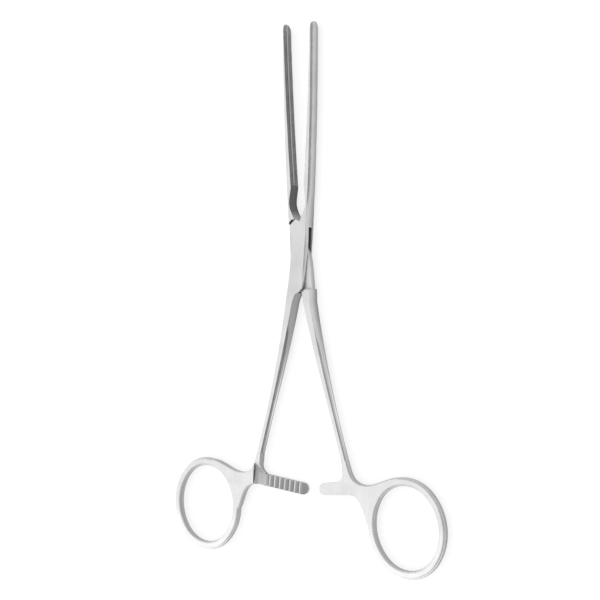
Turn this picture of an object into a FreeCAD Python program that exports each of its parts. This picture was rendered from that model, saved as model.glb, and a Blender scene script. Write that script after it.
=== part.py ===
import FreeCAD, Part
import math
import os

# Intestinal clamp with a box lock, lying flat as it rests on a table.
# X runs across the clamp, Y along it towards the jaw tips, Z up through the pivot.
# The origin is on the pivot's axis, in the underside of the lock.
# Each half is drawn in its closed place and then turned out by half_open_deg.
# Lengths are in millimetres.

V = FreeCAD.Vector
UP = V(0, 0, 1)

# Whole clamp
lock_thickness = 5.2
half_open_deg = 3.9
mid_z = lock_thickness / 2
far_x = 9.0

# Jaws: thin bowed blades, flat and grooved inside, rounded outside
jaw_tip_y = 85.3
jaw_height = 5.0
jaw_root_y = 13.4
face_start_y = 25.0
bow_top_y = 30.0
heel_gap = 1.18
tip_gap = 0.07
root_crease_x = 2.85
heel_flank = 1.6
tip_flank = 0.30
jaw_bulge = 1.0
root_bulge = 0.55
blade_inset_x = 1.0
tip_round = 2.4
tip_end_height = 1.0
tip_bulge_share = 0.35
jaw_stations = 19

# Grooves that run along the face of each jaw
groove_count = 6
groove_pitch = 0.63
groove_depth = 0.26
groove_land = 0.16
centre_land = 0.70
groove_start_gap = 1.2

# Relief behind the face, where each blade narrows above the lock
relief_depth_x = 2.27
relief_y = 18.9
crotch_y = 12.4
crotch_x = -0.05

# Lock: the outer half is slotted, and the inner half's tongue passes through it
tongue_thickness = 2.2
slot_clearance = 0.05
closing_clearance = 0.12
plate_waist = 2.9
plate_top_right = 2.95
plate_top_left = 4.05
plate_foot_left = 3.5
plate_foot_right = 2.75
plate_top_y = 10.75
plate_peak_x = -1.6
plate_peak_y = 13.3
plate_heel_x = -0.32
plate_heel_y = -14.26
plate_foot_y = -11.8
plate_bulge = 0.85
foot_bulge = 0.40
tongue_waist = 3.6
tongue_foot = 4.5
tongue_recess = 1.3
slot_end_sum = 14.05
shoulder_in_x = 1.05
shoulder_in_y = -13.9
shoulder_mid_x = 2.15
shoulder_mid_y = -12.7
shoulder_out_y = -12.2

# Pivot pin, flush with both faces of the lock
pin_radius = 1.5
pin_running_clearance = 0.03

# Shanks
shank_top_y = -17.0
shank_foot_y = -75.0
shank_top_x = 2.68
shank_foot_x = 13.56
shank_top_slope = 0.125
shank_foot_slope = 0.215
shank_root_width = 2.74
shank_waist_width = 1.22
shank_waist_share = 0.77
shank_taper_share = 0.85
shank_root_bulge = 0.30
shank_seam_bulge = 0.02
shank_bulge_share = 0.42
shank_bulge_run = 0.35
shank_stations = 9

# Finger rings and the flat webs that carry them
ring_reach_x = 24.05
ring_drop_y = 23.65
ring_half_width = 14.2
ring_half_length = 16.4
ring_end_share = 0.915
ring_lean_deg = 1.3
wire_width = 3.1
wire_thickness = 3.6
wire_end_share = 0.86
web_thickness = 3.1
web_neck_x = 1.0
web_neck_y = 3.9
web_bend_x = 2.7
web_bend_y = 3.05
web_brow_x = 6.6
web_brow_y = 1.4
web_crown_share = 0.60
web_crown_y = 1.75
web_round = 1.0
web_lap = 0.05
web_sink = 0.5
web_corner_y = 4.0
web_corner_x = 0.15
web_inner_x = 1.3
web_inner_share = 0.60
web_inner_drop = 1.78
web_side_x_share = 0.7806
web_side_share = 0.42
web_rise = 0.3
web_hollow_x = 0.55
web_hollow_y = 1.1

# Ratchet bars: the outer half's is long, the inner half's is short
bar_drop_y = 10.2
bar_root_height = 4.5
bar_end_height = 4.35
bar_lean_deg = 2.2
bar_gap = 0.06
long_bar_length = 21.1
short_bar_length = 10.5
bar_root_inset = 0.36
bar_root_lap = 2.0
bar_crown = 1.6
bar_wall_lap = 0.6
tooth_pitch = 2.28
tooth_depth = 0.60
tooth_land = 0.35
tooth_drop = 0.05
tooth_first_inset = 1.6
long_bar_teeth = 8
short_bar_teeth = 3
recess_wall_reach = 2.4
recess_floor_inset = 0.9
recess_bend_share = 0.78
recess_bend_rise = 0.32
recess_edge_lap = 0.05

# Places that follow from the sizes above
ring_x = shank_foot_x + ring_reach_x
ring_y = shank_foot_y - ring_drop_y
bar_y = shank_foot_y - bar_drop_y
bar_root_x = shank_foot_x - bar_root_inset
long_bar_end_x = bar_root_x - long_bar_length
short_bar_end_x = bar_root_x - short_bar_length
tooth_first_x = bar_root_x - tooth_first_inset
recess_wall_x = bar_root_x + recess_wall_reach
recess_floor_x = bar_root_x - recess_floor_inset


def at(x, y, z=0.0):
    return V(x, y, mid_z + z)


def mix(a, b, share):
    return a + (b - a) * share


def ease(share):
    s = min(max(share, 0.0), 1.0)
    return s * s * (3 - 2 * s)


def heading(degrees):
    return V(math.cos(math.radians(degrees)), math.sin(math.radians(degrees)), 0)


def closed_wire(edges):
    return Part.Wire(Part.__sortEdges__(edges))


def polygon(points):
    return Part.makePolygon(points + [points[0]])


def prism(wire, bottom_z, top_z):
    """Extrudes a plan outline between two heights measured from the middle plane."""
    face = Part.Face(wire)
    face.translate(V(0, 0, bottom_z))
    return face.extrude(V(0, 0, top_z - bottom_z))


def section(y, x_in, x_out, half, bulge_in, bulge_out):
    """One cross-section of a limb: flat front and back, bulged or flat sides."""
    edges = [Part.LineSegment(at(x_in, y, half), at(x_out, y, half)).toShape()]
    edges.append(Part.Arc(at(x_out, y, half), at(x_out + bulge_out, y), at(x_out, y, -half)).toShape())
    edges.append(Part.LineSegment(at(x_out, y, -half), at(x_in, y, -half)).toShape())
    if bulge_in:
        edges.append(Part.Arc(at(x_in, y, -half), at(x_in - bulge_in, y), at(x_in, y, half)).toShape())
    else:
        edges.append(Part.LineSegment(at(x_in, y, -half), at(x_in, y, half)).toShape())
    return Part.Wire(edges)


def jaw_outline():
    """Plan of the room between the mid-plane and one blade's inside."""
    bow_radius = (jaw_tip_y - bow_top_y) ** 2 / (2 * (heel_gap - tip_gap))
    centre_x = heel_gap - bow_radius

    def face_x(y):
        return centre_x + math.sqrt(bow_radius ** 2 - (y - bow_top_y) ** 2)

    past_tip = jaw_tip_y + 5
    relief = Part.BSplineCurve()
    relief.interpolate([
        at(crotch_x, crotch_y),
        at(crotch_x + 0.35 * (relief_depth_x - crotch_x), mix(crotch_y, relief_y, 0.28)),
        at(relief_depth_x, relief_y),
        at(mix(face_x(face_start_y), relief_depth_x, 0.55), mix(face_start_y, relief_y, 0.42)),
        at(face_x(face_start_y), face_start_y)])
    bow = Part.Arc(at(face_x(face_start_y), face_start_y),
                   at(face_x((face_start_y + past_tip) / 2), (face_start_y + past_tip) / 2),
                   at(face_x(past_tip), past_tip))
    corners = [at(face_x(past_tip), past_tip), at(-far_x, past_tip), at(-far_x, crotch_y),
               at(crotch_x, crotch_y)]
    room = Part.Wire([relief.toShape(), bow.toShape()] + Part.makePolygon(corners).Edges)
    return room, bow_radius, centre_x


def groove_cutter(bow_radius, centre_x):
    """V-shaped grooves along the bowed face, turned about the bow's own centre."""
    half_width = (groove_pitch - groove_land) / 2
    start = math.degrees(math.asin((face_start_y + groove_start_gap - bow_top_y) / bow_radius))
    end = math.degrees(math.asin((jaw_tip_y + tip_round - bow_top_y) / bow_radius))
    centre = at(centre_x, bow_top_y)
    cutters = []
    for side in (-1, 1):
        for i in range(groove_count // 2):
            z = side * (centre_land / 2 + (i + 0.5) * groove_pitch)
            above = bow_radius - groove_depth
            profile = [(above, z - half_width), (bow_radius, z - half_width), (bow_radius + groove_depth, z),
                       (bow_radius, z + half_width), (above, z + half_width)]
            face = Part.Face(polygon([centre + V(r, 0, h) for r, h in profile]))
            face.rotate(centre, UP, start)
            cutters.append(face.revolve(centre, UP, end - start))
    return cutters


def jaw():
    """One blade with its root, on the +X side."""
    half = jaw_height / 2
    body_end = jaw_tip_y - tip_round
    sections = []
    heel_x = heel_gap + heel_flank
    tip_x = tip_gap + tip_flank
    for i in range(jaw_stations):
        y = mix(jaw_root_y, body_end, i / (jaw_stations - 1))
        along = max(0.0, (y - face_start_y) / (body_end - face_start_y))
        swell = ease((y - jaw_root_y) / (face_start_y - jaw_root_y))
        x_out = mix(mix(root_crease_x, heel_x, swell), tip_x, 0.45 * along + 0.55 * along ** 2)
        bulge = mix(root_bulge, jaw_bulge, swell)
        sections.append(section(y, -blade_inset_x, x_out, mix(mid_z, half, swell), 0, bulge))
    for share in (0.45, 0.75, 0.93, 1.0):
        fall = math.sqrt(1 - share ** 2)
        end_half = mix(tip_end_height / 2, half, fall)
        y = mix(body_end, jaw_tip_y, share)
        end_bulge = jaw_bulge * mix(tip_bulge_share, 1, fall)
        sections.append(section(y, -blade_inset_x, tip_x, end_half, 0, end_bulge))
    blade = Part.makeLoft(sections, True, False)
    outline, bow_radius, centre_x = jaw_outline()
    blade = blade.cut(prism(outline, -lock_thickness, lock_thickness))
    return blade.cut(groove_cutter(bow_radius, centre_x))


def shank_centre(share):
    length = shank_top_y - shank_foot_y
    a = 2 * share ** 3 - 3 * share ** 2 + 1
    b = share ** 3 - 2 * share ** 2 + share
    c = 3 * share ** 2 - 2 * share ** 3
    d = share ** 3 - share ** 2
    return a * shank_top_x + b * length * shank_top_slope + c * shank_foot_x + d * length * shank_foot_slope


def shank_section(share):
    y = mix(shank_top_y, shank_foot_y, share)
    spread = (share - shank_waist_share) / shank_waist_share
    width = shank_waist_width + (shank_root_width - shank_waist_width) * spread ** 2
    thickness = mix(lock_thickness, web_thickness, ease(share / shank_taper_share))
    swell = ease(share / shank_bulge_run)
    full = shank_bulge_share * thickness / 2
    x = shank_centre(share)
    return section(y, x - width / 2, x + width / 2, thickness / 2,
                   mix(shank_seam_bulge, full, swell), mix(shank_root_bulge, full, swell))


def oval_arcs(half_width, half_length, end_share):
    """The four arcs of an oval: direction they face, shift of their centre, radius and half spread."""
    end_radius = end_share * half_width
    reach = half_length - end_radius
    side_radius = (reach ** 2 + half_width ** 2 - end_radius ** 2) / (2 * (half_width - end_radius))
    back = side_radius - half_width
    meet = math.degrees(math.atan2(reach, back))
    return [(0, -back, side_radius, meet), (90, reach, end_radius, 90 - meet),
            (180, -back, side_radius, meet), (270, reach, end_radius, 90 - meet)]


def ring_arcs():
    """The arcs of the ring's middle line: centre, radius, first and last direction."""
    arcs = []
    for direction, shift, radius, spread in oval_arcs(ring_half_width, ring_half_length, ring_end_share):
        facing = direction + ring_lean_deg
        arcs.append((at(ring_x, ring_y) + heading(facing) * shift, radius, facing - spread, facing + spread))
    return arcs


def ring_outline():
    """Plan of the middle of the ring's wire."""
    edges = []
    for centre, radius, first, last in ring_arcs():
        edges.append(Part.Circle(centre, UP, radius).toShape(math.radians(first), math.radians(last)))
    return closed_wire(edges)


def wire_section(middle, outwards):
    """Oval section of the ring's wire about one point of its middle line."""
    edges = []
    for direction, shift, radius, spread in oval_arcs(wire_width / 2, wire_thickness / 2, wire_end_share):
        centre = heading(direction) * shift
        flat = [centre + heading(direction + turn) * radius for turn in (-spread, 0, spread)]
        edges.append(Part.Arc(*[middle + outwards * p.x + UP * p.y for p in flat]).toShape())
    return closed_wire(edges)


def ring():
    """Finger ring: an oval wire, thicker than it is wide, bent to four arcs."""
    stretches = []
    for centre, radius, first, last in ring_arcs():
        wire = Part.Face(wire_section(centre + heading(first) * radius, heading(first)))
        stretches.append(wire.revolve(centre, UP, last - first))
    return stretches[0].fuse(stretches[1:])


def web():
    """Flat web that joins the shank, the ring and the ratchet bar."""
    ring_top = ring_y + ring_half_length + wire_width / 2
    ring_side = ring_x - ring_half_width - wire_width / 2
    sunk_side = ring_side + web_sink
    sunk_top = ring_top - web_sink
    foot_out = shank_foot_x + shank_waist_width / 2 + shank_bulge_share * web_thickness / 2
    foot_in = shank_foot_x - shank_waist_width / 2
    bar_top = bar_y + bar_root_height / 2
    bar_bottom = bar_y - bar_root_height / 2
    lap_x = bar_root_x - bar_root_lap
    inner_x = bar_root_x + web_inner_x
    crown_x = mix(foot_out, ring_x, web_crown_share)
    top_corner = at(foot_in + web_corner_x, shank_foot_y - web_corner_y)
    outer = Part.BSplineCurve()
    outer.interpolate([at(foot_out, shank_foot_y), at(foot_out + web_neck_x, shank_foot_y - web_neck_y),
                       at(foot_out + web_bend_x, bar_y + web_bend_y),
                       at(foot_out + web_brow_x, bar_y + web_brow_y),
                       at(crown_x, ring_top - web_crown_y), at(ring_x, sunk_top)])
    inner = Part.BSplineCurve()
    inner.interpolate([at(inner_x, bar_bottom + web_lap),
                       at(mix(bar_root_x, ring_side, web_inner_share), bar_bottom - web_inner_drop),
                       at(mix(bar_root_x, ring_side, web_side_x_share),
                          mix(bar_bottom, ring_y, web_side_share)),
                       at(sunk_side, ring_y)])
    edges = [outer.toShape(), inner.toShape()]
    edges.append(Part.LineSegment(at(ring_x, sunk_top), at(ring_x, ring_y)).toShape())
    edges.append(Part.LineSegment(at(ring_x, ring_y), at(sunk_side, ring_y)).toShape())
    edges.append(Part.LineSegment(at(inner_x, bar_bottom + web_lap), at(lap_x, bar_bottom + web_lap)).toShape())
    edges.append(Part.LineSegment(at(lap_x, bar_bottom + web_lap), at(lap_x, bar_top + web_rise)).toShape())
    corner = Part.Arc(at(lap_x, bar_top + web_rise),
                      at(foot_in - web_hollow_x, bar_top + web_hollow_y), top_corner)
    edges.append(corner.toShape())
    edges.append(Part.LineSegment(top_corner, at(foot_in, shank_foot_y)).toShape())
    edges.append(Part.LineSegment(at(foot_in, shank_foot_y), at(foot_out, shank_foot_y)).toShape())
    plate = prism(closed_wire(edges), -web_thickness / 2, web_thickness / 2)
    plate = plate.makeFillet(web_round, [e for e in plate.Edges if isinstance(e.Curve, Part.BSplineCurve)])
    opening = prism(ring_outline(), -web_thickness, web_thickness)
    return plate.cut(opening)


def bar(end_x, teeth, side):
    """Ratchet bar, with its teeth towards the front for side 1 and the back for side -1."""
    half_root = bar_root_height / 2
    half_end = bar_end_height / 2
    crown_x = end_x + bar_crown
    root_x = recess_wall_x + bar_wall_lap
    edges = [Part.LineSegment(at(root_x, bar_y + half_root), at(crown_x, bar_y + half_end)).toShape()]
    end = Part.Arc(at(crown_x, bar_y + half_end), at(end_x, bar_y), at(crown_x, bar_y - half_end))
    edges.append(end.toShape())
    edges.append(Part.LineSegment(at(crown_x, bar_y - half_end), at(root_x, bar_y - half_root)).toShape())
    edges.append(Part.LineSegment(at(root_x, bar_y - half_root), at(root_x, bar_y + half_root)).toShape())
    near = bar_gap / 2
    blank = prism(closed_wire(edges), -web_thickness / 2, -near)
    points = [(end_x - bar_crown, near + tooth_depth), (end_x - bar_crown, -near - tooth_depth)]
    crests = [tooth_first_x - i * tooth_pitch for i in range(teeth)]
    for crest in reversed(crests):
        ramp_start = crest - tooth_pitch + tooth_land
        points.append((max(ramp_start, end_x + tooth_drop), -near - tooth_depth))
        points.append((crest - tooth_land, -near))
        points.append((crest, -near))
        points.append((crest + tooth_drop, -near - tooth_depth))
    points.append((root_x + bar_wall_lap, -near - tooth_depth))
    points.append((root_x + bar_wall_lap, near + tooth_depth))
    wire = polygon([at(x, bar_y - half_root - 1, z) for x, z in points])
    gaps = Part.Face(wire).extrude(V(0, bar_root_height + 2, 0))
    blank = blank.cut(gaps)
    blank.rotate(at(bar_root_x, bar_y), UP, bar_lean_deg)
    if side < 0:
        blank = blank.mirror(at(0, 0), UP)
    return blank


def recess(side):
    """Room cut out of the web beside the bar, so that the two bars can pass."""
    floor = -bar_gap / 2 - tooth_depth
    top = web_thickness
    a = at(recess_floor_x, 0, floor)
    b = at(recess_wall_x, 0, web_thickness / 2 + recess_edge_lap)
    middle = at(mix(recess_floor_x, recess_wall_x, recess_bend_share), 0,
                mix(floor, web_thickness / 2, recess_bend_rise))
    edges = [Part.Arc(a, middle, b).toShape()]
    edges.append(Part.LineSegment(b, at(recess_wall_x, 0, top)).toShape())
    edges.append(Part.LineSegment(at(recess_wall_x, 0, top), at(short_bar_end_x, 0, top)).toShape())
    edges.append(Part.LineSegment(at(short_bar_end_x, 0, top), at(short_bar_end_x, 0, floor)).toShape())
    edges.append(Part.LineSegment(at(short_bar_end_x, 0, floor), a).toShape())
    along = Part.Face(Part.Wire(edges))
    bottom_y = bar_y - bar_root_height
    along.translate(V(0, bottom_y, 0))
    along = along.extrude(V(0, 3 * bar_root_height, 0))
    ramp = polygon([at(0, bottom_y, floor), at(0, bar_y + bar_root_height / 2, floor),
                    at(0, bar_y + 1.5 * bar_root_height, web_thickness / 2 + 2 * recess_edge_lap),
                    at(0, bar_y + 1.5 * bar_root_height, top), at(0, bottom_y, top)])
    cutter = along.common(Part.Face(ramp).extrude(V(recess_wall_x + far_x, 0, 0)))
    if side < 0:
        cutter = cutter.mirror(at(0, 0), UP)
    return cutter


def handle(end_x, teeth, side):
    """Shank, web, finger ring and ratchet bar on the +X side."""
    shank = Part.makeLoft([shank_section(i / (shank_stations - 1)) for i in range(shank_stations)], True, False)
    flat = web()
    flat = flat.cut(recess(side))
    shank = shank.cut(recess(side))
    return shank.fuse([flat, ring(), bar(end_x, teeth, side)])


def plate_section(y, left, right, bulge_left, bulge_right):
    return section(y, -left, right, mid_z, bulge_left, bulge_right)


def both_ways(plan):
    return prism(plan, -lock_thickness, lock_thickness)


def outer_lock():
    """Slotted lock of the outer half, from its shank on -X up to its jaw on +X."""
    shank_out = shank_top_x + shank_root_width / 2
    shank_in = shank_top_x - shank_root_width / 2
    rows = [plate_section(shank_top_y, shank_out, plate_foot_right, shank_root_bulge, foot_bulge)]
    rows.append(plate_section(plate_foot_y, plate_foot_left, plate_foot_right, foot_bulge, foot_bulge))
    rows.append(plate_section(plate_foot_y / 2, plate_waist + 0.15, plate_waist - 0.25,
                              plate_bulge, plate_bulge))
    rows.append(plate_section(0.0, plate_waist, plate_waist - 0.1, plate_bulge, plate_bulge))
    rows.append(plate_section(plate_top_y / 2, plate_waist + 0.2, plate_waist, plate_bulge, plate_bulge))
    rows.append(plate_section(plate_top_y, plate_top_left, plate_top_right, foot_bulge, root_bulge))
    rows.append(plate_section(jaw_root_y, plate_top_left, root_crease_x, foot_bulge, root_bulge))
    block = Part.makeLoft(rows, True, False)
    above = polygon([at(-far_x, plate_peak_y - (far_x + plate_peak_x)), at(plate_peak_x, plate_peak_y),
                     at(crotch_x, crotch_y), at(crotch_x + 0.75, jaw_root_y),
                     at(crotch_x + 0.75, jaw_root_y + 1),
                     at(-far_x, jaw_root_y + 1)])
    slope = (plate_foot_y - plate_heel_y) / (plate_foot_right - plate_heel_x)
    below = polygon([at(plate_heel_x, plate_heel_y), at(far_x, plate_heel_y + slope * (far_x - plate_heel_x)),
                     at(far_x, shank_top_y - 1), at(-shank_in, shank_top_y - 1), at(-shank_in, shank_top_y)])
    block = block.cut([both_ways(above), both_ways(below)])
    room = slot_end_sum
    slot = polygon([at(far_x, room - far_x), at(0, room), at(0, room + 3), at(-far_x, room + 3),
                    at(-far_x, far_x - room), at(0, -room), at(0, -room - 3), at(far_x, -room - 3)])
    half_slot = tongue_thickness / 2 + slot_clearance
    return block, prism(slot, -half_slot, half_slot)


def inner_lock():
    """Tongue of the inner half, with full-height shoulders above and below it."""
    shank_out = shank_top_x + shank_root_width / 2
    shank_in = shank_top_x - shank_root_width / 2
    rows = [plate_section(shank_top_y, far_x / 3, shank_out, foot_bulge, shank_root_bulge)]
    rows.append(plate_section(plate_foot_y, tongue_waist - 0.3, tongue_foot - 0.3, foot_bulge, foot_bulge))
    rows.append(plate_section(plate_foot_y / 2, tongue_waist - 0.2, mix(tongue_waist, tongue_foot, 0.5),
                              foot_bulge, foot_bulge))
    rows.append(plate_section(0.0, tongue_waist, tongue_waist - 0.1, foot_bulge, foot_bulge))
    tongue_top = tongue_waist - tongue_recess
    rows.append(plate_section(plate_top_y / 2, tongue_waist - 0.1, tongue_top, foot_bulge, foot_bulge))
    rows.append(plate_section(plate_top_y, tongue_waist - 0.5, tongue_top, root_bulge, foot_bulge))
    rows.append(plate_section(jaw_root_y, root_crease_x, tongue_top, root_bulge, foot_bulge))
    block = Part.makeLoft(rows, True, False)
    step = closing_clearance * math.sqrt(2)
    room = slot_end_sum - step
    beyond_top = polygon([at(far_x, room - far_x), at(-crotch_x, room + crotch_x), at(-crotch_x, crotch_y),
                          at(-crotch_x - 0.75, jaw_root_y), at(-crotch_x - 0.75, jaw_root_y + 1),
                          at(far_x, jaw_root_y + 1)])
    beyond_foot = polygon([at(-far_x, far_x - room), at(-0.4, 0.4 - room), at(shoulder_in_x, shoulder_in_y),
                           at(shank_in, shank_top_y), at(shank_in, shank_top_y - 1),
                           at(-far_x, shank_top_y - 1)])
    peak = plate_peak_y + step
    shoulders = polygon([at(-far_x, peak - (far_x + plate_peak_x)), at(plate_peak_x, peak), at(0.1, peak),
                         at(far_x, peak), at(far_x, shoulder_out_y), at(shoulder_mid_x, shoulder_mid_y),
                         at(shoulder_in_x, shoulder_in_y), at(-far_x, shoulder_in_y)])
    half_tongue = tongue_thickness / 2
    front = prism(shoulders, half_tongue, lock_thickness)
    back = prism(shoulders, -lock_thickness, -half_tongue)
    return block.cut([both_ways(beyond_top), both_ways(beyond_foot), front, back])


def pin(radius, length):
    return Part.makeCylinder(radius, length, V(0, 0, mid_z - length / 2), UP)


def across(shape):
    """The same shape on the other side of the mid-plane."""
    return shape.mirror(V(0, 0, 0), V(1, 0, 0))


def turned(shape, degrees):
    copy = shape.copy()
    copy.rotate(V(0, 0, 0), UP, degrees)
    return copy


def outer_half():
    block, slot = outer_lock()
    body = block.fuse([jaw(), across(handle(long_bar_end_x, long_bar_teeth, 1))]).removeSplitter()
    return body.cut([slot, pin(pin_radius, 2 * lock_thickness)])


def inner_half():
    body = inner_lock().fuse([across(jaw()), handle(short_bar_end_x, short_bar_teeth, -1)]).removeSplitter()
    return body.cut(pin(pin_radius + pin_running_clearance, 2 * lock_thickness))


pieces = {
    "outer_half": turned(outer_half(), -half_open_deg),
    "inner_half": turned(inner_half(), half_open_deg),
    "pivot_pin": pin(pin_radius, lock_thickness),
}
os.makedirs("parts", exist_ok=True)
for name, shape in pieces.items():
    print(name, shape.isValid(), len(shape.Solids), round(shape.Volume, 2))
    shape.Solids[0].exportStep("parts/" + name + ".step")
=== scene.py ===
import math

import bpy
from mathutils import Matrix, Vector


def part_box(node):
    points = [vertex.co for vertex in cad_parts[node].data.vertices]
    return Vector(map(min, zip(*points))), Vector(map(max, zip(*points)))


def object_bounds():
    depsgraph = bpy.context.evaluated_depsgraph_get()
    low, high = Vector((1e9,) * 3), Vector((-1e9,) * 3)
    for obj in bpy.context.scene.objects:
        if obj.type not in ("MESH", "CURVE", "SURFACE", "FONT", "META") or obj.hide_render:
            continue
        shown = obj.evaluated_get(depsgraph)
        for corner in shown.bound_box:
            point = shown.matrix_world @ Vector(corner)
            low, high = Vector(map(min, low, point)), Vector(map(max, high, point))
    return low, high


# Intestinal clamp lying open on a pale table, seen from above and from its right.
# The frame gives every shape; this script adds the steel, the light and the camera.
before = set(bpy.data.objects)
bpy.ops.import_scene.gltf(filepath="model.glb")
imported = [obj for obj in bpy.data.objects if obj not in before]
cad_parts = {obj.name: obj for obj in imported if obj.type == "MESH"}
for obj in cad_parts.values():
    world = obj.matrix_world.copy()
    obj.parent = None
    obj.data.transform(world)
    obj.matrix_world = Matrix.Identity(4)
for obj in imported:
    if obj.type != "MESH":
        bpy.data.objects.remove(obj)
cad_low, cad_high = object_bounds()

MM = 0.001
pin_low, pin_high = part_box("pivot_pin")
MID_PLANE = (pin_low.z + pin_high.z) / 2
PIN_RADIUS = (pin_high.x - pin_low.x) / 2

# Camera, held to the right of the clamp and leaning back towards it
CAMERA_LEAN = math.radians(34.0)
CAMERA_PITCH = math.radians(-1.602)
CAMERA_ROLL = math.radians(-0.259)
CAMERA_DISTANCE = 468.9 * MM
CAMERA_ACROSS = -0.535 * MM
CAMERA_ALONG = -3.18 * MM
LENS = 76.46
SENSOR_WIDTH = 36.0
NEAREST_SEEN = 10.0 * MM

# Room: a soft bright dome that darkens towards the table's level on the camera's side
DOME_STRENGTH = 1.06
DOME_LOW = 0.46
DARK_SIDE = 0.60
DUSK = (0.10, 0.70)

# Table
TABLE_COLOUR = 0.42
TABLE_LIFT = 0.70
TABLE_HALF_SIZE = 3.0
TABLE_DROP = 0.02 * MM

# Zones of the finish. Each pair is a soft step: none at the first value, full at the second.
LOCK_Y = (26.0 * MM, 10.4 * MM)
HANDLE_Y = (-20.0 * MM, -84.0 * MM)
JAW_Y = (14.0 * MM, 80.0 * MM)
BITE_Y = (13.0 * MM, 17.0 * MM)
GROOVES_Y = (25.5 * MM, 26.5 * MM)
CENTRE_LAND_Z = (0.372 * MM, 0.248 * MM)
RING_Y = (-76.0 * MM, -84.0 * MM)
WIRE_Y = (-90.0 * MM, -106.0 * MM)
RECESS_X = (15.0 * MM, 17.5 * MM)
INNER_SIDE_WIDTH = 1.5 * MM

# Painted highlight as a bright line along the shanks' sides, and painted shade on the side below it
CROWN_RISE = 0.15 * MM
CROWN_Z = (0.52 * MM, 0.156 * MM)
CROWN_TOP_Y = (-28.0 * MM, -58.0 * MM)
CROWN_FOOT_Y = (-76.0 * MM, -58.0 * MM)
LOW_SIDE_Z = (2.0 * MM, -1.6 * MM)

# Ratchet teeth, by distance from the middle of the bars and from the middle plane
RATCHET_Y = -85.2 * MM
RATCHET_REACH = (6.0 * MM, 4.8 * MM)
TOOTH_DEPTH = 0.63 * MM
TOOTHED_Z = (TOOTH_DEPTH + 0.25 * MM, TOOTH_DEPTH + 0.05 * MM)
CREST_Z = (0.22 * TOOTH_DEPTH, 0.08 * TOOTH_DEPTH)
TOOTH_FLOOR_Z = (0.25 * TOOTH_DEPTH, TOOTH_DEPTH)

# How far a surface faces up or down, or towards the middle of the clamp
FLAT_TILT = (0.35, 0.95)
TOOTH_TILT = (0.50, 0.90)
SHOULDER_TILT = (0.37, 0.58)
TURNED_IN = (-0.2, 0.4)

# Brightness of the steel in each zone, from 0 for black to 1 for white. The side, ring wall, bite, land,
# tooth, recess, corner and groove values are painted shade; the crown, shoulder, crest and edge values are
# painted highlights.
LOCK_TONE = 0.66
PIN_TONE = 0.65
SHANK_TONE = 0.72
WEB_TONE = 0.79
WIRE_TONE = 0.92
JAW_TONE = 0.68
BITE_SHADE_TONE = 0.11
LAND_SHADE_TONE = 0.40
INNER_SIDE_SHADE_TONE = 0.36
OUTER_SIDE_SHADE_TONE = 0.58
LOW_SIDE_SHADE_TONE = 0.348
CROWN_HIGHLIGHT_TONE = 0.84
RING_INNER_SHADE_TONE = 0.39
RING_OUTER_SHADE_TONE = 0.37
SHOULDER_HIGHLIGHT_TONE = 0.90
TOOTH_SHADE_TONE = 0.36
TOOTH_FLOOR_SHADE_TONE = 0.29
CREST_HIGHLIGHT_TONE = 0.72
RECESS_SHADE_TONE = 0.58
EDGE_HIGHLIGHT_TONE = 0.95
EDGE_HIGHLIGHT_SHARE = 0.60
CORNER_PAINTED_SHADE = 0.52
GROOVE_PAINTED_SHADE = 0.42
PATCH_SHADES = (0.94, 1.05)
SCRATCH_SHADES = (0.93, 1.05)
SHADED_NOISE = (0.25, 0.75)
TINT = (1.0, 1.0, 1.006)

# Roughness of the steel, and what each place adds to it
SATIN = 0.30
PIN_SATIN = 0.32
SIDE_ROUGHNESS = -0.08
RATCHET_ROUGHNESS = 0.12
CORNER_ROUGHNESS = 0.20
POLISHED_ROUGHNESS = 0.16
PATCH_ROUGHNESS = (0.2, 0.8, -0.03, 0.04)
SCRATCH_ROUGHNESS = (0.3, 0.7, -0.02, 0.03)

# Scratches from grinding, and the slow unevenness under them
SCRATCH_LENGTH = 9.0
SCRATCHES_PER_MM = 9.0
PATCH_SIZE = 7.0
SCRATCH_DETAIL = 3.0
SCRATCH_COARSENESS = 0.62
PATCH_DETAIL = 2.0
RELIEF_STRENGTH = 0.35
RELIEF_DEPTH = 0.006 * MM

# Edges and crevices
EDGE_RADIUS = 0.30 * MM
EDGE_SAMPLES = 8
EDGE_BEND = (0.995, 0.90)
WEAR_SCALE = 0.35 / MM
WEAR_DETAIL = 3.0
WEAR = (0.35, 0.62, 0.35, 1.0)
CREVICE_REACH = 3.0 * MM
GROOVE_REACH = 0.45 * MM
CREVICE_SAMPLES = 8
CREVICE_DEPTH = (0.95, 0.25)


def add(tree, kind, **values):
    """New node with its settings."""
    made = tree.nodes.new(kind)
    for name, value in values.items():
        setattr(made, name, value)
    return made


def feed(tree, value, socket):
    """Gives a socket its value, which is another socket or a plain number."""
    if isinstance(value, (int, float)):
        socket.default_value = value
    else:
        tree.links.new(value, socket)


def math_node(tree, operation, *values, clamp=False):
    """One step of arithmetic."""
    made = add(tree, "ShaderNodeMath", operation=operation, use_clamp=clamp)
    for value, socket in zip(values, made.inputs):
        feed(tree, value, socket)
    return made.outputs[0]


def smooth_range(tree, value, start, end, low=0.0, high=1.0):
    """Soft step from low at start to high at end."""
    made = add(tree, "ShaderNodeMapRange", interpolation_type="SMOOTHSTEP")
    names = ("Value", "From Min", "From Max", "To Min", "To Max")
    for name, amount in zip(names, (value, start, end, low, high)):
        feed(tree, amount, made.inputs[name])
    return made.outputs[0]


def blend(tree, share, first, second):
    """Value between first and second."""
    made = add(tree, "ShaderNodeMix", data_type="FLOAT")
    for index, value in ((0, share), (2, first), (3, second)):
        feed(tree, value, made.inputs[index])
    return made.outputs[0]


def distance(tree, value, middle):
    """How far a value lies from a middle, either way."""
    return math_node(tree, "ABSOLUTE", math_node(tree, "SUBTRACT", value, middle))


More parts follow.
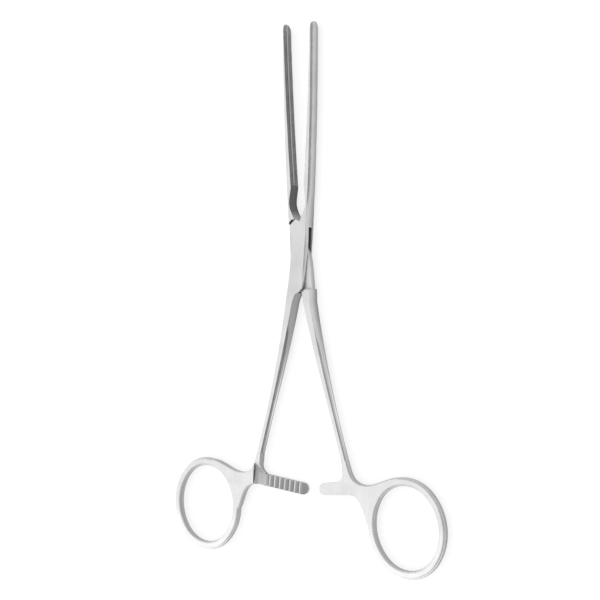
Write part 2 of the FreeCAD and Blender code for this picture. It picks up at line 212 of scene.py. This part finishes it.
def split(tree, vector):
    """The X, Y and Z of a vector."""
    made = add(tree, "ShaderNodeSeparateXYZ")
    tree.links.new(vector, made.inputs[0])
    return made.outputs


def noise(tree, vector, scale, detail):
    """Cloudy pattern with a fixed scale or one that comes from a socket."""
    made = add(tree, "ShaderNodeTexNoise", noise_dimensions="3D")
    made.inputs["Detail"].default_value = detail
    tree.links.new(vector, made.inputs["Vector"])
    feed(tree, scale, made.inputs["Scale"])
    return made


def group(name, inputs, masks, normal=False):
    """New shader node group with named numbers going in, and masks and maybe a normal coming out."""
    tree = bpy.data.node_groups.new(name, "ShaderNodeTree")
    for label, amount in inputs.items():
        socket = tree.interface.new_socket(name=label, in_out="INPUT", socket_type="NodeSocketFloat")
        socket.default_value = amount
    if normal:
        tree.interface.new_socket(name="Normal", in_out="OUTPUT", socket_type="NodeSocketVector")
    for label in masks:
        tree.interface.new_socket(name=label, in_out="OUTPUT", socket_type="NodeSocketFloat")
    return tree, add(tree, "NodeGroupInput").outputs, add(tree, "NodeGroupOutput").inputs


def grinding_group():
    """Fine scratches along the clamp and the slow unevenness of a hand-ground surface."""
    sizes = {"Scratch Length": SCRATCH_LENGTH, "Scratches per mm": SCRATCHES_PER_MM, "Patch Size": PATCH_SIZE}
    tree, given, out = group("grinding", sizes, ("Scratches", "Patches"))
    place = add(tree, "ShaderNodeTexCoord")
    in_mm = add(tree, "ShaderNodeVectorMath", operation="SCALE")
    in_mm.inputs["Scale"].default_value = 1 / MM
    tree.links.new(place.outputs["Object"], in_mm.inputs[0])
    spot = split(tree, in_mm.outputs[0])
    across = given["Scratches per mm"]
    along = math_node(tree, "DIVIDE", 1.0, given["Scratch Length"])
    drawn_out = add(tree, "ShaderNodeCombineXYZ")
    for axis, scale in (("X", across), ("Y", along), ("Z", across)):
        tree.links.new(math_node(tree, "MULTIPLY", spot[axis], scale), drawn_out.inputs[axis])
    fine = noise(tree, drawn_out.outputs[0], 1.0, SCRATCH_DETAIL)
    fine.inputs["Roughness"].default_value = SCRATCH_COARSENESS
    slow = noise(tree, in_mm.outputs[0], math_node(tree, "DIVIDE", 1.0, given["Patch Size"]), PATCH_DETAIL)
    tree.links.new(fine.outputs["Fac"], out["Scratches"])
    tree.links.new(slow.outputs["Fac"], out["Patches"])
    return tree


def edges_group():
    """Softly broken edges: the rounded normal, and a patchy edge mask for polish from handling and a painted
    highlight.
    """
    tree, given, out = group("broken_edges", {"Radius": EDGE_RADIUS}, ("Polish and Highlight",), normal=True)
    place = add(tree, "ShaderNodeTexCoord")
    spot = split(tree, place.outputs["Object"])
    squares = [math_node(tree, "POWER", spot[axis], 2.0) for axis in "XY"]
    from_pin = math_node(tree, "SQRT", math_node(tree, "ADD", *squares))
    clear = smooth_range(tree, from_pin, PIN_RADIUS + EDGE_RADIUS, PIN_RADIUS + 2 * EDGE_RADIUS)
    rounded = add(tree, "ShaderNodeBevel", samples=EDGE_SAMPLES)
    tree.links.new(math_node(tree, "MULTIPLY", given["Radius"], clear), rounded.inputs["Radius"])
    surface = add(tree, "ShaderNodeNewGeometry")
    match = add(tree, "ShaderNodeVectorMath", operation="DOT_PRODUCT")
    tree.links.new(rounded.outputs[0], match.inputs[0])
    tree.links.new(surface.outputs["Normal"], match.inputs[1])
    bent = smooth_range(tree, match.outputs["Value"], *EDGE_BEND)
    wear = noise(tree, place.outputs["Object"], WEAR_SCALE, WEAR_DETAIL)
    patchy = smooth_range(tree, wear.outputs["Fac"], *WEAR)
    tree.links.new(rounded.outputs[0], out["Normal"])
    tree.links.new(math_node(tree, "MULTIPLY", bent, patchy), out["Polish and Highlight"])
    return tree


def crevice_group():
    """How deep in a slot, groove or corner a place lies, from 0 in the open to 1 deep inside."""
    tree, given, out = group("crevices", {"Reach": CREVICE_REACH}, ("Depth",))
    hidden = add(tree, "ShaderNodeAmbientOcclusion", samples=CREVICE_SAMPLES)
    tree.links.new(given["Reach"], hidden.inputs["Distance"])
    tree.links.new(smooth_range(tree, hidden.outputs["AO"], *CREVICE_DEPTH), out["Depth"])
    return tree


def zones_group():
    """Where on the clamp a place lies, and which way its surface faces."""
    masks = ("Flat", "Turned In", "Lock", "Handle", "Jaw", "Bite", "Centre Land", "Ratchet", "Crest",
             "Tooth Depth", "Shank Crown", "Low", "Shoulder", "Ring", "Wire", "Recess")
    tree, given, out = group("zones", {"Inner Side Width": INNER_SIDE_WIDTH}, masks)
    place = add(tree, "ShaderNodeTexCoord")
    spot = split(tree, place.outputs["Object"])
    facing = split(tree, place.outputs["Normal"])
    tilt = math_node(tree, "ABSOLUTE", facing["Z"])
    height = distance(tree, spot["Z"], MID_PLANE)
    over_crown = math_node(tree, "SUBTRACT", spot["Z"], MID_PLANE + CROWN_RISE)
    steps = {"Flat": (tilt, FLAT_TILT),
             "Shoulder": (tilt, SHOULDER_TILT),
             "Lock": (math_node(tree, "ABSOLUTE", spot["Y"]), LOCK_Y),
             "Handle": (spot["Y"], HANDLE_Y),
             "Jaw": (spot["Y"], JAW_Y),
             "Bite": (spot["Y"], BITE_Y),
             "Ring": (spot["Y"], RING_Y),
             "Wire": (spot["Y"], WIRE_Y),
             "Recess": (math_node(tree, "ABSOLUTE", spot["X"]), RECESS_X),
             "Crest": (height, CREST_Z),
             "Tooth Depth": (height, TOOTH_FLOOR_Z),
             "Low": (over_crown, LOW_SIDE_Z)}
    for name, (value, step) in steps.items():
        tree.links.new(smooth_range(tree, value, *step), out[name])

    width = given["Inner Side Width"]
    left = math_node(tree, "MULTIPLY", width, -1.0)
    side = smooth_range(tree, spot["X"], left, width, 1.0, -1.0)
    inwards = math_node(tree, "MULTIPLY", facing["X"], side)
    tree.links.new(smooth_range(tree, inwards, *TURNED_IN), out["Turned In"])

    grooved = smooth_range(tree, spot["Y"], *GROOVES_Y)
    middle = smooth_range(tree, height, *CENTRE_LAND_Z)
    tree.links.new(math_node(tree, "MULTIPLY", grooved, middle), out["Centre Land"])

    toothed = smooth_range(tree, distance(tree, spot["Y"], RATCHET_Y), *RATCHET_REACH)
    toothed = math_node(tree, "MULTIPLY", toothed, smooth_range(tree, height, *TOOTHED_Z))
    toothed = math_node(tree, "MULTIPLY", toothed, smooth_range(tree, tilt, *TOOTH_TILT))
    tree.links.new(toothed, out["Ratchet"])

    crown = smooth_range(tree, math_node(tree, "ABSOLUTE", over_crown), *CROWN_Z)
    crown = math_node(tree, "MULTIPLY", crown, smooth_range(tree, spot["Y"], *CROWN_TOP_Y))
    crown = math_node(tree, "MULTIPLY", crown, smooth_range(tree, spot["Y"], *CROWN_FOOT_Y))
    tree.links.new(crown, out["Shank Crown"])
    return tree


GRINDING = grinding_group()
BROKEN_EDGES = edges_group()
CREVICES = crevice_group()
ZONES = zones_group()


def place_group(tree, made, **values):
    """Puts a shared group into a material, with that material's own values."""
    holder = add(tree, "ShaderNodeGroup")
    holder.node_tree = made
    for name, amount in values.items():
        holder.inputs[name].default_value = amount
    return holder.outputs


def zone_tone(tree, zones, lock):
    """Brightness of the clean steel, zone by zone, with painted shade on the sides, the jaws' gripping faces,
    the ring walls, the ratchet teeth and the recess, and painted highlights on the shanks' crowns, the rings'
    shoulders and the teeth's crests.
    """
    handle = blend(tree, zones["Handle"], SHANK_TONE, blend(tree, zones["Wire"], WEB_TONE, WIRE_TONE))
    blade = blend(tree, zones["Jaw"], SHANK_TONE, JAW_TONE)
    ends = math_node(tree, "MAXIMUM", handle, blade)
    face = blend(tree, zones["Lock"], ends, lock)
    # Painted shade on the jaws' gripping faces: very dark over the grooves, lighter along the centre land.
    bite = blend(tree, zones["Centre Land"], BITE_SHADE_TONE, LAND_SHADE_TONE)
    # Painted shade on the sides that face the middle of the clamp; on the jaws these take the gripping faces'
    # shade.
    inwards = blend(tree, zones["Bite"], INNER_SIDE_SHADE_TONE, bite)
    # Painted shade on the outer sides, darker towards the table.
    outwards = blend(tree, zones["Low"], OUTER_SIDE_SHADE_TONE, LOW_SIDE_SHADE_TONE)
    side = blend(tree, zones["Turned In"], outwards, inwards)
    # Painted highlight as a bright line along the shanks' sides.
    side = blend(tree, zones["Shank Crown"], side, CROWN_HIGHLIGHT_TONE)
    # Painted shade on the rings' inner and outer walls, with a painted highlight on their rounded shoulders.
    ring_side = blend(tree, zones["Turned In"], RING_OUTER_SHADE_TONE, RING_INNER_SHADE_TONE)
    ring_side = blend(tree, zones["Shoulder"], ring_side, SHOULDER_HIGHLIGHT_TONE)
    side = blend(tree, zones["Ring"], side, ring_side)
    # Faces keep the zone tone; other surfaces take the painted side shade and highlights.
    tone = blend(tree, zones["Flat"], side, face)
    # Painted shade on the ratchet teeth, darker towards their floors, with a painted highlight on the crests
    # and painted shade in the recess.
    toothed = blend(tree, zones["Tooth Depth"], TOOTH_SHADE_TONE, TOOTH_FLOOR_SHADE_TONE)
    toothed = blend(tree, zones["Crest"], toothed, CREST_HIGHLIGHT_TONE)
    toothed = blend(tree, zones["Recess"], toothed, RECESS_SHADE_TONE)
    return blend(tree, zones["Ratchet"], tone, toothed)


def steel(name, lock=LOCK_TONE, roughness=SATIN):
    """Surgical steel: satin ground faces and glossier sides, with painted shade on the sides and in crevices,
    which are also duller, and edge polish with a painted highlight.
    """
    metal = bpy.data.materials.new(name)
    metal.use_nodes = True
    tree = metal.node_tree
    body = tree.nodes["Principled BSDF"]
    body.inputs["Metallic"].default_value = 1.0
    grinding = place_group(tree, GRINDING)
    edges = place_group(tree, BROKEN_EDGES)
    corners = place_group(tree, CREVICES, Reach=CREVICE_REACH)
    grooves = place_group(tree, CREVICES, Reach=GROOVE_REACH)
    zones = place_group(tree, ZONES)

    tone = zone_tone(tree, zones, lock)
    for pattern, shades in (("Patches", PATCH_SHADES), ("Scratches", SCRATCH_SHADES)):
        shade = smooth_range(tree, grinding[pattern], *SHADED_NOISE, *shades)
        tone = math_node(tree, "MULTIPLY", tone, shade)
    # Painted shade in corners and grooves: the tone darkens the deeper the place lies.
    for crevice, shade in ((corners, CORNER_PAINTED_SHADE), (grooves, GROOVE_PAINTED_SHADE)):
        tone = math_node(tree, "MULTIPLY", tone, blend(tree, crevice["Depth"], 1.0, shade))
    # Painted highlight along the edges, in patches, over the edge polish.
    edge_highlight = math_node(tree, "MULTIPLY", edges["Polish and Highlight"], EDGE_HIGHLIGHT_SHARE)
    tone = blend(tree, edge_highlight, tone, EDGE_HIGHLIGHT_TONE)
    colour = add(tree, "ShaderNodeCombineColor")
    for channel, share in zip(("Red", "Green", "Blue"), TINT):
        tree.links.new(math_node(tree, "MULTIPLY", tone, share, clamp=True), colour.inputs[channel])
    tree.links.new(colour.outputs[0], body.inputs["Base Color"])

    gloss = blend(tree, zones["Flat"], roughness + SIDE_ROUGHNESS, roughness)
    gloss = math_node(tree, "ADD", gloss, math_node(tree, "MULTIPLY", zones["Ratchet"], RATCHET_ROUGHNESS))
    for pattern, change in (("Patches", PATCH_ROUGHNESS), ("Scratches", SCRATCH_ROUGHNESS)):
        gloss = math_node(tree, "ADD", gloss, smooth_range(tree, grinding[pattern], *change))
    gloss = blend(tree, edges["Polish and Highlight"], gloss, POLISHED_ROUGHNESS)
    dull = math_node(tree, "MULTIPLY", corners["Depth"], CORNER_ROUGHNESS)
    tree.links.new(math_node(tree, "ADD", gloss, dull, clamp=True), body.inputs["Roughness"])

    relief = add(tree, "ShaderNodeBump")
    relief.inputs["Strength"].default_value = RELIEF_STRENGTH
    relief.inputs["Distance"].default_value = RELIEF_DEPTH
    tree.links.new(grinding["Scratches"], relief.inputs["Height"])
    tree.links.new(edges["Normal"], relief.inputs["Normal"])
    tree.links.new(relief.outputs[0], body.inputs["Normal"])
    return metal


def set_camera():
    """Camera above the clamp and to its right, at the photograph's angle."""
    right = Vector((math.cos(CAMERA_LEAN), 0, -math.sin(CAMERA_LEAN)))
    ahead = Vector((-math.sin(CAMERA_LEAN), 0, -math.cos(CAMERA_LEAN)))
    along = Vector((0, 1, 0))
    place = Vector((0, 0, MID_PLANE)) - ahead * CAMERA_DISTANCE
    place = place + right * CAMERA_ACROSS + along * CAMERA_ALONG
    look = ahead * math.cos(CAMERA_PITCH) + along * math.sin(CAMERA_PITCH)
    upright = along * math.cos(CAMERA_PITCH) - ahead * math.sin(CAMERA_PITCH)
    across = right * math.cos(CAMERA_ROLL) + upright * math.sin(CAMERA_ROLL)
    up = upright * math.cos(CAMERA_ROLL) - right * math.sin(CAMERA_ROLL)
    data = bpy.data.cameras.new("camera")
    data.lens = LENS
    data.sensor_width = SENSOR_WIDTH
    data.clip_start = NEAREST_SEEN
    camera = bpy.data.objects.new("camera", data)
    bpy.context.scene.collection.objects.link(camera)
    turned = Matrix((across, up, -look)).transposed().to_4x4()
    camera.matrix_world = Matrix.Translation(place) @ turned
    bpy.context.scene.camera = camera


def studio():
    """Bright soft dome that falls off to a darker room near the table's level."""
    world = bpy.data.worlds.new("studio")
    bpy.context.scene.world = world
    world.use_nodes = True
    tree = world.node_tree
    tree.nodes.clear()
    out = add(tree, "ShaderNodeOutputWorld")
    place = add(tree, "ShaderNodeTexCoord")
    direction = split(tree, place.outputs["Generated"])
    height = math_node(tree, "MULTIPLY_ADD", direction["X"], -DARK_SIDE, direction["Z"])
    dome = add(tree, "ShaderNodeBackground")
    light = smooth_range(tree, height, *DUSK, DOME_LOW, DOME_STRENGTH)
    tree.links.new(light, dome.inputs["Strength"])
    seen = add(tree, "ShaderNodeBackground")
    for sky in (dome, seen):
        sky.inputs["Color"].default_value = (1, 1, 1, 1)
    path = add(tree, "ShaderNodeLightPath")
    choose = add(tree, "ShaderNodeMixShader")
    tree.links.new(path.outputs["Is Camera Ray"], choose.inputs[0])
    tree.links.new(dome.outputs[0], choose.inputs[1])
    tree.links.new(seen.outputs[0], choose.inputs[2])
    tree.links.new(choose.outputs[0], out.inputs["Surface"])


def table_paint():
    """Matt grey that the camera and the steel's reflections see as almost white."""
    paint = bpy.data.materials.new("pale_table")
    paint.use_nodes = True
    tree = paint.node_tree
    tree.nodes.clear()
    out = add(tree, "ShaderNodeOutputMaterial")
    matt = add(tree, "ShaderNodeBsdfDiffuse")
    matt.inputs["Color"].default_value = (TABLE_COLOUR, TABLE_COLOUR, TABLE_COLOUR, 1)
    lift = add(tree, "ShaderNodeEmission")
    path = add(tree, "ShaderNodeLightPath")
    seen = math_node(tree, "MAXIMUM", path.outputs["Is Camera Ray"], path.outputs["Is Glossy Ray"])
    tree.links.new(math_node(tree, "MULTIPLY", seen, TABLE_LIFT), lift.inputs["Strength"])
    both = add(tree, "ShaderNodeAddShader")
    tree.links.new(matt.outputs[0], both.inputs[0])
    tree.links.new(lift.outputs[0], both.inputs[1])
    tree.links.new(both.outputs[0], out.inputs["Surface"])
    return paint


def pale_table():
    """Table just under the lock's underside, on which the clamp lies."""
    mesh = bpy.data.meshes.new("table")
    size = TABLE_HALF_SIZE
    corners = [(-size, -size, 0), (size, -size, 0), (size, size, 0), (-size, size, 0)]
    mesh.from_pydata(corners, [], [(0, 1, 2, 3)])
    table = bpy.data.objects.new("table", mesh)
    table.location.z = cad_low.z - TABLE_DROP
    bpy.context.scene.collection.objects.link(table)
    mesh.materials.append(table_paint())


def dress(name, metal):
    """Gives a piece of the clamp its steel."""
    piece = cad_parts[name]
    for place in piece.material_slots:
        place.material = metal


set_camera()
studio()
pale_table()
dress("outer_half", steel("outer_half_steel"))
dress("inner_half", steel("inner_half_steel"))
dress("pivot_pin", steel("pin_steel", lock=PIN_TONE, roughness=PIN_SATIN))

bpy.context.scene.view_settings.view_transform = "Standard"
